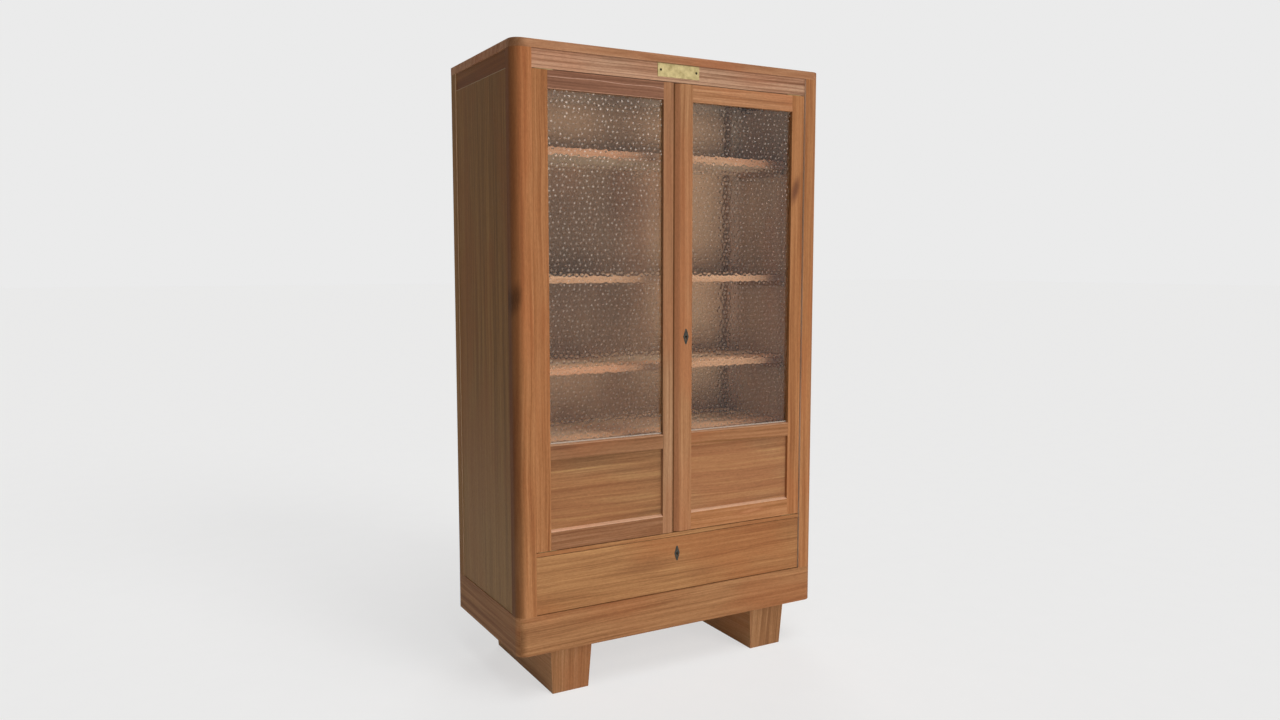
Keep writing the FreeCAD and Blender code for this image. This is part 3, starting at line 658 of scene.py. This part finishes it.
# The frieze's tones are paler and pinker than the wood beside it: partly its own wood, partly a
# painted sheen and painted light against the shade of the top board above.
frieze_tones = [(122, 85, 64), (175, 137, 110), (189, 152, 125)]
top_tones = [(136, 90, 60), (162, 116, 84), (182, 138, 106)]
plinth_tones = [(126, 84, 54), (151, 107, 71), (172, 126, 86)]
side_tones = [(108, 75, 40), (134, 95, 54), (152, 112, 66)]
side_rail_tones = [(88, 56, 29), (111, 71, 37), (129, 86, 48)]
drawer_tones = [(130, 88, 56), (156, 111, 72), (178, 132, 87)]
left_panel_tones = [(122, 86, 58), (147, 107, 73), (170, 132, 88)]
right_panel_tones = [(128, 90, 62), (154, 112, 78), (178, 138, 93)]
left_top_tones = [(104, 70, 52), (131, 91, 71), (150, 108, 84)]
left_middle_tones = [(116, 78, 52), (139, 97, 67), (155, 114, 82)]
left_bottom_tones = [(112, 72, 48), (134, 91, 62), (150, 108, 78)]
right_middle_tones = [(130, 88, 56), (151, 104, 70), (168, 120, 84)]
right_bottom_tones = [(140, 92, 56), (163, 111, 72), (178, 126, 86)]
right_top_tones = [(146, 100, 67), (172, 124, 88), (186, 139, 102)]
passive_tones = [(130, 92, 66), (153, 113, 81), (171, 131, 99)]
active_tones = [(140, 94, 62), (161, 115, 79), (176, 130, 93)]
# The inside, back and shelf tones are paler than the wood outside: partly the bare wood, partly
# painted light for the cabinet's dim inside; the near-white shelf tones paint the light on the
# shelves' tops and undersides.
inside_tones = [(190, 162, 138), (210, 183, 158), (222, 198, 176)]
back_tones = [(154, 123, 98), (174, 143, 117), (190, 160, 134)]
shelf_tones = [(224, 200, 172), (241, 222, 196), (248, 235, 212)]
shelf_edge_tones = [(190, 143, 112), (212, 165, 131), (228, 185, 153)]
# The sills' tones are paler than the rails', painted light on their upward faces.
sill_tones = [(190, 144, 114), (206, 164, 134), (220, 184, 156)]
glass_sill_tones = [(168, 122, 92), (186, 142, 110), (200, 160, 130)]
hidden_tones = [(140, 104, 72), (168, 128, 92), (186, 148, 112)]
# The side boards' arrises: wear, and a painted highlight on edges that stand in shade.
arris_wear_and_highlight = (214, 184, 146)
# Painted shade, for the rounded front-left corner and the gap by the meeting stile.
painted_shade = (72, 42, 18)
# Painted shade inside the keyhole bores.
keyhole_shade = (30, 24, 20)
# Painted light: a pale pool along the front of the lower shelves' tops.
painted_shelf_light = (250, 200, 160)

shelves = ("shelf_1", "shelf_2", "shelf_3", "shelf_4")
# Each board's grain, the other axis of its seen face, and its tones. A board's place in this list
# sets its figure.
boards = {
    "top_board": ("x", "y", top_tones),
    "front_post_left": ("z", "x", post_tones),
    "front_post_right": ("z", "x", post_tones),
    "rear_post_left": ("z", "y", side_tones),
    "rear_post_right": ("z", "y", side_tones),
    "frieze_rail": ("x", "z", frieze_tones),
    "side_top_rails": ("y", "z", side_rail_tones),
    "rear_top_rail": ("x", "z", side_tones),
    "plinth_front": ("x", "z", plinth_tones),
    "plinth_sides": ("y", "z", plinth_tones),
    "plinth_rear": ("x", "z", plinth_tones),
    "side_panels": ("z", "y", side_tones),
    "divider_rail": ("x", "z", drawer_tones),
    "runner_foot_left": ("y", "z", left_foot_painted_light_tones),
    "runner_foot_right": ("y", "z", foot_tones),
    "left_door_hinge_stile": ("z", "x", stile_tones),
    "left_door_meeting_stile": ("z", "x", passive_tones),
    "left_door_top_rail": ("x", "z", left_top_tones),
    "left_door_middle_rail": ("x", "z", left_middle_tones),
    "left_door_bottom_rail": ("x", "z", left_bottom_tones),
    "left_door_panel": ("x", "z", left_panel_tones),
    "right_door_hinge_stile": ("z", "x", post_tones),
    "right_door_meeting_stile": ("z", "x", active_tones),
    "right_door_top_rail": ("x", "z", right_top_tones),
    "right_door_middle_rail": ("x", "z", right_middle_tones),
    "right_door_bottom_rail": ("x", "z", right_bottom_tones),
    "right_door_panel": ("x", "z", right_panel_tones),
    "drawer_front": ("x", "z", drawer_tones),
}
boards.update((shelf, ("x", "y", shelf_tones)) for shelf in shelves)
first_seed = 0.5
seed_step = 1.37

marks_of = {
    # The rounded front-left corner carries painted shade.
    "top_board": (Mark(painted_shade, -0.2425, 0.05, along=-0.509, length=0.05, share=0.75),),
    "frieze_rail": (
        Mark((104, 68, 46), 1.7345, 0.0024, sway=0.006, share=0.5),
        Mark((120, 80, 56), 1.7478, 0.0034, sway=0.012, share=0.5),
        Mark((104, 68, 46), 1.7604, 0.0022, sway=0.016, share=0.5),
        Mark((112, 74, 50), 1.7705, 0.0018, sway=0.006, share=0.45),
    ),
    "left_door_top_rail": (
        Mark((206, 168, 146), 1.7055, 0.0013, sway=0.05, share=0.6),
        Mark((100, 66, 50), 1.6965, 0.0050, sway=0.03, share=0.35),
        Mark((190, 146, 118), 1.6775, 0.0018, share=0.6),
    ),
    "left_door_middle_rail": (
        Mark((98, 62, 44), 0.709, 0.012, along=-0.375, length=0.080, lean=-0.002, share=0.55),
    ),
    "right_door_top_rail": (
        Mark((132, 88, 60), 1.7010, 0.0022, sway=0.05, share=0.7),
        Mark((146, 100, 70), 1.6880, 0.0022, sway=0.04, share=0.5),
    ),
    "drawer_front": (
        Mark((122, 80, 52), 0.335, 0.040, along=-0.10, length=0.13, lean=0.006, share=0.40),
        Mark((124, 82, 54), 0.290, 0.026, along=0.09, length=0.10, share=0.30),
        # Painted shade in the keyhole's bore.
        Mark(keyhole_shade, 0.3570, 0.012, along=0.0, length=0.0040),
    ),
    "right_door_bottom_rail": (
        Mark((150, 94, 62), 0.4520, 0.016, along=0.27, length=0.10, lean=0.004, share=0.55),
        Mark((188, 132, 92), 0.4530, 0.007, along=0.27, length=0.055, lean=0.004, share=0.6),
    ),
    "right_door_meeting_stile": (
        # Painted shade: darker on the bevel that faces away from the lamps, dark in the gap beside
        # it, and dark in the keyhole's bore.
        Mark((138, 90, 61), -0.001, 0.013, share=0.8),
        Mark(painted_shade, -0.0112, 0.0066),
        Mark(keyhole_shade, 0.0280, 0.0040, along=1.0016, length=0.012),
    ),
    "front_post_left": (
        # Painted shade along the rounded corner, standing partly for a darker vein there, and a
        # dark knot that widens that shade.
        Mark(painted_shade, -0.5085, 0.030, share=0.66),
        Mark((64, 38, 20), -0.503, 0.020, along=1.118, length=0.062, lean=0.008, share=0.8),
    ),
    # The plinth's front-left corner carries painted shade.
    "plinth_front": (Mark(painted_shade, 0.165, 0.11, along=-0.509, length=0.030, share=0.55),),
    "plinth_sides": (Mark(painted_shade, 0.165, 0.11, along=-0.2425, length=0.030, share=0.45),),
    # Painted light: a paler, greyer patch over the low part of the side panels, for light thrown
    # up by the floor.
    "side_panels": (Mark((156, 130, 98), 0.0, 0.6, along=0.30, length=0.80, share=0.38),),
    "right_door_hinge_stile": (
        Mark((104, 66, 48), 0.423, 0.022, along=1.440, length=0.060, lean=0.014, share=0.9),
    ),
}
# The front of the three lower shelves' tops carries a painted pool of light.
marks_of.update((shelf, (Mark(painted_shelf_light, -0.0925, 0.15),)) for shelf in shelves[:3])
# Painted light: paler bands inside the cabinet at the bottom and top compartments.
lining_painted_light = (
    Mark((242, 216, 192), 0.0, 1.2, along=0.70, length=0.24, share=0.8),
    Mark((236, 210, 186), 0.0, 1.2, along=1.70, length=0.14, share=0.6),
)
# Painted shade: a darker strip on the rear posts' inner faces, near the back.
rear_post_painted_shade = (Mark((146, 114, 84), 0.2005, 0.036),)
# Painted shade over the left middle of the back panel, and painted light along its right, at its
# bottom and at its top.
back_painted_light_and_shade = (
    Mark((120, 97, 80), -0.22, 0.50, along=1.22, length=0.54, share=0.95),
    Mark((214, 182, 150), 0.38, 0.26, share=0.58),
    Mark((226, 196, 164), 0.03, 0.12, along=1.66, length=0.16, share=0.8),
    Mark((204, 172, 142), 0.0, 1.1, along=0.76, length=0.17, share=0.85),
    Mark((214, 174, 141), 0.0, 1.1, along=1.66, length=0.14, share=0.8),
)

lining = wood("inside_boards", "z", "x", inside_tones, seed=51.0, marks=lining_painted_light)
lining_long = wood("inside_long_boards", "x", "y", inside_tones, seed=57.0)
post_lining = wood("rear_post_insides", "z", "y", inside_tones, seed=52.0, marks=rear_post_painted_shade)
shelf_edge = wood("shelf_edges", "x", "z", shelf_edge_tones, seed=54.0)
# Painted light: the rails' sills are paler on their upward faces, where light from above falls;
# the glass sills too.
painted_light_sill = wood("painted_light_sills", "x", "z", sill_tones, seed=60.0)
glass_sill = wood("glass_sills", "x", "z", glass_sill_tones, seed=61.0)
foot_end = wood("foot_ends", "z", "x", foot_end_tones, seed=66.0)
linings = {
    "side_panels": (lining, looks_in),
    "front_post_left": (lining, looks_in),
    "front_post_right": (lining, looks_in),
    "rear_post_left": (post_lining, looks_inside),
    "rear_post_right": (post_lining, looks_inside),
    "rear_top_rail": (lining_long, looks_forward),
    # The upward faces of the door rails take the sill tones, painted light.
    "left_door_middle_rail": (glass_sill, looks_up),
    "left_door_bottom_rail": (painted_light_sill, looks_up),
    "right_door_middle_rail": (glass_sill, looks_up),
    "right_door_bottom_rail": (painted_light_sill, looks_up),
    "runner_foot_left": (foot_end, looks_forward),
    "runner_foot_right": (foot_end, looks_forward),
}
linings.update((shelf, (shelf_edge, looks_forward)) for shelf in shelves)

# How far arrises are eased, and the shortest that are.
ease = 0.0009
pale_ease = 0.0014
close_ease = 0.0004
plate_ease = 0.0004
escutcheon_ease = 0.0003
long_arris = 0.10
plate_arris = 0.02
escutcheon_arris = 0.004
eases = {
    "side_top_rails": pale_ease,
    "side_panels": pale_ease,
    "drawer_front": close_ease,
    "divider_rail": close_ease,
    "plinth_front": close_ease,
}
# Boards whose arrises get the paler tone, with its painted highlight.
pale_edged = ("side_top_rails", "side_panels")
# Painted light: the side panels are brighter low down and darker high up, as the light thrown up
# by the floor makes them.
painted_bounce_fades = {"side_panels": (0.24, 1.73, 1.14, 0.82)}


def slot_of(node):
    """The record's material slot of a board."""
    if node.endswith(("_panel", "_panels")):
        return "panel_wood"
    if node in shelves:
        return "inside_wood"
    if "door_" in node or node == "drawer_front":
        return "door_wood"
    return "case_wood"


for number, (node, (grain, face, tones)) in enumerate(boards.items()):
    seed = number * seed_step + first_seed
    marks = marks_of.get(node, ())
    arris_colour = arris_wear_and_highlight if node in pale_edged else None
    finish = wood(node, grain, face, tones, seed, marks, arris_colour, painted_bounce_fades.get(node))
    eased(node, eases.get(node, ease), long_arris, finish, slot_of(node), *linings.get(node, ()))

hidden = wood("hidden_boards", "x", "z", hidden_tones, seed=63.0)
hidden_deep = wood("hidden_deep_boards", "y", "z", hidden_tones, seed=69.0)
back_inside = wood("back_inside", "z", "x", back_tones, seed=48.0, marks=back_painted_light_and_shade)
back_outside = wood("back_outside", "z", "x", hidden_tones, seed=49.0)
eased("back_panel", ease, long_arris, back_outside, "panel_wood", back_inside, looks_forward)

brass = brass_finish()
iron = dark_metal_finish("blackened_iron", (44, 44, 40), (78, 77, 69), (112, 108, 100))
old_screw = dark_metal_finish("old_brass_screws", (34, 30, 12), (62, 56, 26), (96, 88, 50))
steel = steel_finish()
eased("brass_plate", plate_ease, plate_arris, brass, "brass")
for node in ("door_escutcheon", "drawer_escutcheon"):
    eased(node, escutcheon_ease, escutcheon_arris, iron, "dark_iron")

finish_of = {
    "bottom_board": lining_long,
    "cupboard_floor": lining_long,
    "door_stop_strip": lining_long,
    "drawer_bottom": lining_long,
    "drawer_back": hidden,
    "left_door_glazing_beads": hidden,
    "right_door_glazing_beads": hidden,
    "drawer_runners": hidden_deep,
    "drawer_sides": hidden_deep,
    "shelf_cleats": hidden_deep,
    "plate_screws": old_screw,
    "door_lock_case": iron,
    "drawer_lock_case": iron,
    "foot_screws": steel,
    "door_lock_bolt": steel,
    "drawer_lock_bolt": steel,
    "hinge_case_leaves": brass,
    "left_door_hinge_leaves": brass,
    "right_door_hinge_leaves": brass,
    "left_door_bolt_cases": brass,
    "left_door_upper_bolt": brass,
    "left_door_lower_bolt": brass,
}
for node, finish in finish_of.items():
    dress(node, finish)

glass = glass_finish()
# The left pane's painted glints are brighter and cover more of it than the right's, as the lamps'
# glints would.
pebbled_pane("left_door_glass", glass, seed=11, cover=0.85, brightest=1.0)
pebbled_pane("right_door_glass", glass, seed=12, cover=0.6, brightest=0.7)
